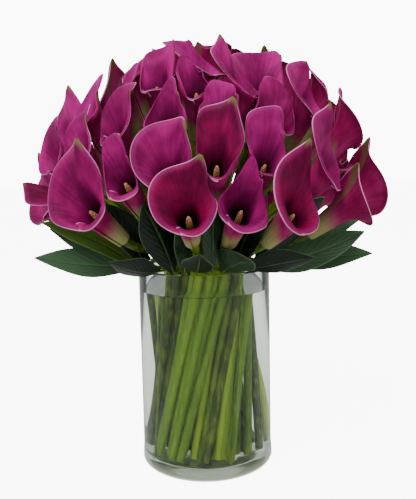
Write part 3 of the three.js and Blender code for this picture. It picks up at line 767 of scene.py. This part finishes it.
# %% Leaf finish
def leaf_finish():
    made, w = new_finish("leathery_leaf")
    inside, rim, tone = w.attribute("inside"), w.attribute("rim"), w.attribute("tone")
    along, turned = w.attribute("along"), w.attribute("turned")
    side = turned.maths("ABSOLUTE", turned)
    ribs = (along * 60.0 - side * 22.0).maths("SINE", along * 60.0 - side * 22.0)
    at = w.node("ShaderNodeTexCoord", None, out=3)
    clouds = w.noise(at, 90.0, detail=3.0)
    dark = w.mix(clouds.between(0.35, 0.7), paint("#020C03"), paint("#081C08"))
    greyish = w.mix(clouds.between(0.3, 0.7), paint("#162E16"), paint("#2A442C"))
    bright = w.mix(clouds.between(0.3, 0.7), paint("#24500A"), paint("#3C6A14"))
    face = w.mix(tone.between(0.35, 0.5), dark, greyish)
    face = w.mix(tone.between(0.65, 0.85), face, bright)
    back = w.mix(tone.between(0.65, 0.85), paint("#3C583C"), paint("#4C6E26"))
    colour = w.mix(inside.between(0.4, 0.6), back, face)
    colour = w.mix(ribs.between(0.75, 1.0) * 0.06, colour, paint("#3E6A38"))
    colour = w.mix(side.between(0.06, 0.015) * 0.35, colour, paint("#4E7A40"))
    colour = w.mix(rim.between(0.7, 0.25) * 0.4, colour, paint("#6E8E5A"))
    height = ribs * 0.12 + side.between(0.0, 0.12) + clouds * 0.3
    finish_with(w, Base_Color=colour, Roughness=0.3 + 0.2 * clouds, Normal=w.bump(height, 0.0006),
                Specular_IOR_Level=0.22, Subsurface_Weight=0.05,
                Subsurface_Radius=(0.001, 0.002, 0.0005), Subsurface_Scale=1.0)
    return made


leathery_leaf = leaf_finish()
leaves = []
for number, leaf in enumerate(LEAVES, 1):
    rows, columns = ((40, 17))
    grid, t, k, half = leaf_grid(leaf, rows, columns)
    flat = np.ones((rows, columns))
    length = np.linalg.norm(grid[-1, 0] - grid[0, 0])
    rim = np.minimum(half[:, None] * (1 - np.abs(k)), length * (1 - t[:, None]))
    tone, along, turned = flat * leaf[-1], flat * t[:, None], flat * k
    piece = closed_sheet(
        f"leaf_{number:02d}", grid, BLADE * (1 - 0.45 * np.abs(turned) ** 3),
        {"inside": (flat, 0 * flat), "rim": (rim, rim), "tone": (tone, tone),
         "along": (along, along), "turned": (turned, turned)},
        np.stack([turned / 2 + 0.5, along], -1),
    )
    piece.data.materials.append(leathery_leaf)
    leaves.append((piece, f"foliage_{leaf[0]}"))
print(len(leaves), "leaves")

# %% Stalks and the sprigs' stems
HOOP_POINTS, STEM_POINTS = 24, 12


def sprig_paths(quarter):
    own = [leaf for leaf in LEAVES if leaf[0] == quarter]
    first, last = own[0][1], own[-1][1]
    hoop = [polar(height_at(HOOP_Z), first + (last - first) * v, 0, HOOP_R)
            for v in np.linspace(0, 1, HOOP_POINTS)]
    place = polar(height_at(0), (first + last) / 2, 0, HOOP_R)[:2]
    foot, neck = straight(place, SPRIG_TWIST, SPRIG_FOOT_R)
    upright = [foot + (neck - foot) * v for v in np.linspace(0, 1, STEM_POINTS)]
    paths, radii = [hoop, upright], [[SPRIG_R * MM] * HOOP_POINTS, [SPRIG_R * MM] * STEM_POINTS]
    for leaf in own:
        root, foot, middle, tip = leaf_points(*leaf[1:5], leaf[6])
        rib = along_leaf(foot, middle, tip, STALK_END)
        paths.append([root, (root + foot) / 2, foot, rib])
        radii.append([STALK_R * MM] * 3 + [0.5 * MM])
    return paths, radii


for quarter in (1, 2, 3, 4):
    paths, radii = sprig_paths(quarter)
    piece = lines(f"sprig_{quarter}", paths, radii, [0.25] * len(paths))
    made_plain(piece, round_stems, Sides=12, Finish=calla_stem)
    leaves.append((piece, f"foliage_{quarter}"))
print("sprigs done")

# %% [markdown]
# ## Vase and water
# Both are turned shapes, so each is one outline swept round the axis. The glass has a thick base that
# bends light, and the water touches the glass: its body is a hair wider than the vase's inside, because a
# thin gap of air between the two would mirror light that in the real vase passes straight through. The
# water's edge climbs the glass a little, and rings close to that edge keep its smooth shading true.

# %% Turned shapes
def turned_shape(name, outline, sides):
    """Closed mesh of an outline of (radius, height) in mm; radius 0 is a pole."""
    points, rings = [], []
    for r, z in outline:
        rings.append([len(points) + i for i in range(1 if r == 0 else sides)])
        for i in range(1 if r == 0 else sides):
            a = 2 * math.pi * i / sides
            points.append((r * math.cos(a) * MM, r * math.sin(a) * MM, z * MM))
    faces = []
    for low, high in zip(rings, rings[1:]):
        for i in range(sides):
            j = (i + 1) % sides
            quad = [low[i % len(low)], low[j % len(low)], high[j % len(high)], high[i % len(high)]]
            faces.append(list(dict.fromkeys(quad)))
    mesh = bpy.data.meshes.new(name)
    mesh.from_pydata(points, [], faces)
    mesh.polygons.foreach_set("use_smooth", [True] * len(mesh.polygons))
    return add_object(name, mesh)


def arc(centre, radius, start, end, count):
    """Points of a corner, angles in degrees from the outward direction up."""
    angles = [math.radians(start + (end - start) * i / (count - 1)) for i in range(count)]
    return [(centre[0] + radius * math.cos(a), centre[1] + radius * math.sin(a)) for a in angles]


# %% Vase and water bodies
INSIDE = VASE_R - WALL
SIDES = 144
vase_outline = [(0, 0), (VASE_R - 9, 0), (VASE_R - 6, 0.3)]
vase_outline += arc((VASE_R - 4.2, 5.5), 5.0, -75, 0, 7)
vase_outline += [(VASE_R + 0.5, 11), (VASE_R, 18), (VASE_R, 100), (VASE_R, VASE_H - 2)]
vase_outline += arc((VASE_R - WALL / 2, VASE_H - 2), WALL / 2, 0, 180, 9)[1:]
vase_outline += [(INSIDE, 100), (INSIDE, FLOOR + 6)]
vase_outline += arc((INSIDE - 5, FLOOR + 5), 5.0, 0, -90, 7) + [(INSIDE - 30, FLOOR), (0, FLOOR)]
vase = turned_shape("glass_vase", vase_outline, SIDES)

WET = 0.15
water_outline = [(0, FLOOR - WET), (INSIDE - 30, FLOOR - WET)]
water_outline += arc((INSIDE - 5, FLOOR + 5), 5.0 + WET, -90, 0, 7)
water_outline += [(INSIDE + WET, 100), (INSIDE + WET, WATER_Z + 1.1), (INSIDE + WET, WATER_Z + 1.3),
                  (INSIDE - 0.2, WATER_Z + 1.0), (INSIDE - 0.8, WATER_Z + 0.5),
                  (INSIDE - 1.8, WATER_Z + 0.15),
                  (INSIDE - 3.5, WATER_Z), (INSIDE - 6, WATER_Z), (0, WATER_Z)]
water = turned_shape("vase_water", water_outline, SIDES)
print("faces of vase and water:", len(vase.data.polygons), len(water.data.polygons))


# %% Glass and water finishes
# Painted light: a pale layer is mixed into the glass of the base, none above the first height and fully
# below the second.
PAINTED_LIGHT_FROM, PAINTED_LIGHT_TO = 0.013, 0.004  # heights in metres


def clear_finish(name, colour, bends, painted_light):
    """Clear material; the last argument is the share of a pale layer in the thick base, painted light that
    brightens it.
    """
    made, w = new_finish(name)
    clear = w.node("ShaderNodeBsdfPrincipled", None, Base_Color=paint(colour), Roughness=0.0, IOR=bends,
                   Transmission_Weight=1.0, Specular_Tint=paint("#8C8C8C"))
    pale = w.node("ShaderNodeBsdfPrincipled", None, Base_Color=paint("#A4B494"), Roughness=0.3)
    height = w.node("ShaderNodeSeparateXYZ", None, w.node("ShaderNodeTexCoord", None, out=3), out=2)
    mixed = w.node("ShaderNodeMixShader", None, height.between(PAINTED_LIGHT_FROM, PAINTED_LIGHT_TO) * painted_light, clear, pale)
    w.node("ShaderNodeOutputMaterial", None, mixed)
    return made


vase.data.materials.append(clear_finish("clear_glass", "#F6FBF8", 1.45, 0.4))
water.data.materials.append(clear_finish("clear_water", "#F4F8F0", 1.33, 0.0))

# %% [markdown]
# ## Floor, backdrop and light
# The photo has a pure white ground. A wide pale floor and a white surround give that, and one large soft
# lamp from the front left shapes the blooms, as a window would. A surround that is bright enough to look
# white would wash out the petals and lay a veil over the glass, so the Light Path node dims it for light
# that falls on the flowers and for light that is mirrored inside the glass.

# %% Stage and lights
def flat_square(name, half, z):
    mesh = bpy.data.meshes.new(name)
    mesh.from_pydata([(-half, -half, z), (half, -half, z), (half, half, z), (-half, half, z)], [],
                     [(0, 1, 2, 3)])
    return add_object(name, mesh)


# Brightness of the surround: to the camera, straight through the glass, mirrored in its edges, onto the
# stems through the glass, and for everything else. The lamps give the floor the rest of its white.
GROUND, BEHIND, IN_EDGES, ON_STEMS, AMBIENT = 10.0, 6.0, 1.5, 3.5, 0.9
FROM_LAMPS, DIM = 1.6, 0.6
# Two floors lie on one another: only the camera sees the bright one, and the dim one is what is seen
# through the glass and what takes the shadow.
floor = flat_square("floor", 40.0, 0.0)
floor_finish, w = new_finish("pale_floor")
finish_with(w, Base_Color=(0.9, 0.9, 0.9, 1.0), Roughness=0.9, Specular_IOR_Level=0.1,
            Emission_Color=(1.0, 1.0, 1.0, 1.0), Emission_Strength=GROUND - FROM_LAMPS)
floor.data.materials.append(floor_finish)
floor.visible_diffuse = floor.visible_glossy = floor.visible_transmission = False
under_floor = flat_square("under_floor", 40.0, -0.0005)
under_finish, w = new_finish("plain_floor")
finish_with(w, Base_Color=(0.9, 0.9, 0.9, 1.0), Roughness=0.9, Specular_IOR_Level=0.1,
            Emission_Color=(1.0, 1.0, 1.0, 1.0), Emission_Strength=DIM)
under_floor.visible_diffuse = under_floor.visible_glossy = False
under_floor.data.materials.append(under_finish)


def soft_lamp(name, at, size, power):
    data = bpy.data.lights.new(name, "AREA")
    data.size, data.energy = size, power
    lamp = bpy.data.objects.new(name, data)
    lamp.location = at
    lamp.rotation_euler = (Vector((0, 0, 0.25)) - Vector(at)).to_track_quat("-Z", "Y").to_euler()
    bpy.context.scene.collection.objects.link(lamp)


soft_lamp("window", (-0.7, -1.2, 1.8), 1.0, 36.0)
soft_lamp("fill", (1.4, -1.0, 0.8), 0.9, 7.0)

world = bpy.data.worlds.new("white surround")
world.use_nodes = True
world.node_tree.nodes.clear()
w = NodeWriter(world.node_tree)
seen, through, scattered, mirrored, passed = (
    w.node("ShaderNodeLightPath", None, out=k) for k in (0, 6, 10, 11, 13))
in_glass = passed.between(0.2, 0.8) * scattered.between(0.8, 0.2)
straight_on = in_glass * mirrored.between(0.8, 0.2)
onto_stems = through * scattered.between(0.2, 0.8)
brightness = (AMBIENT + seen * (GROUND - AMBIENT) + straight_on * (BEHIND - AMBIENT)
              + (in_glass - straight_on) * (IN_EDGES - AMBIENT) + onto_stems * (ON_STEMS - AMBIENT))
surround = w.node("ShaderNodeBackground", None, (1, 1, 1, 1), brightness)
w.node("ShaderNodeOutputWorld", None, surround)
bpy.context.scene.world = world
print("stage set")

# %% [markdown]
# ## Handing the pieces over
# Every piece rides on the one body, and the CAD solid that it stands for is hidden.

# %% Bodies and replaced solids
def hand_over(piece, slot, *nodes):
    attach(piece, "root")
    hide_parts(*nodes)


for number, piece in enumerate(spathes, 1):
    hand_over(piece, "spathe", f"spathe_{number:02d}")
hand_over(stems, "stem", "stems")
hand_over(spadices, "stem", "stems")
for piece, node in leaves:
    hand_over(piece, "leaf", node)
hand_over(vase, "glass", "vase")
hand_over(water, "water", "water")
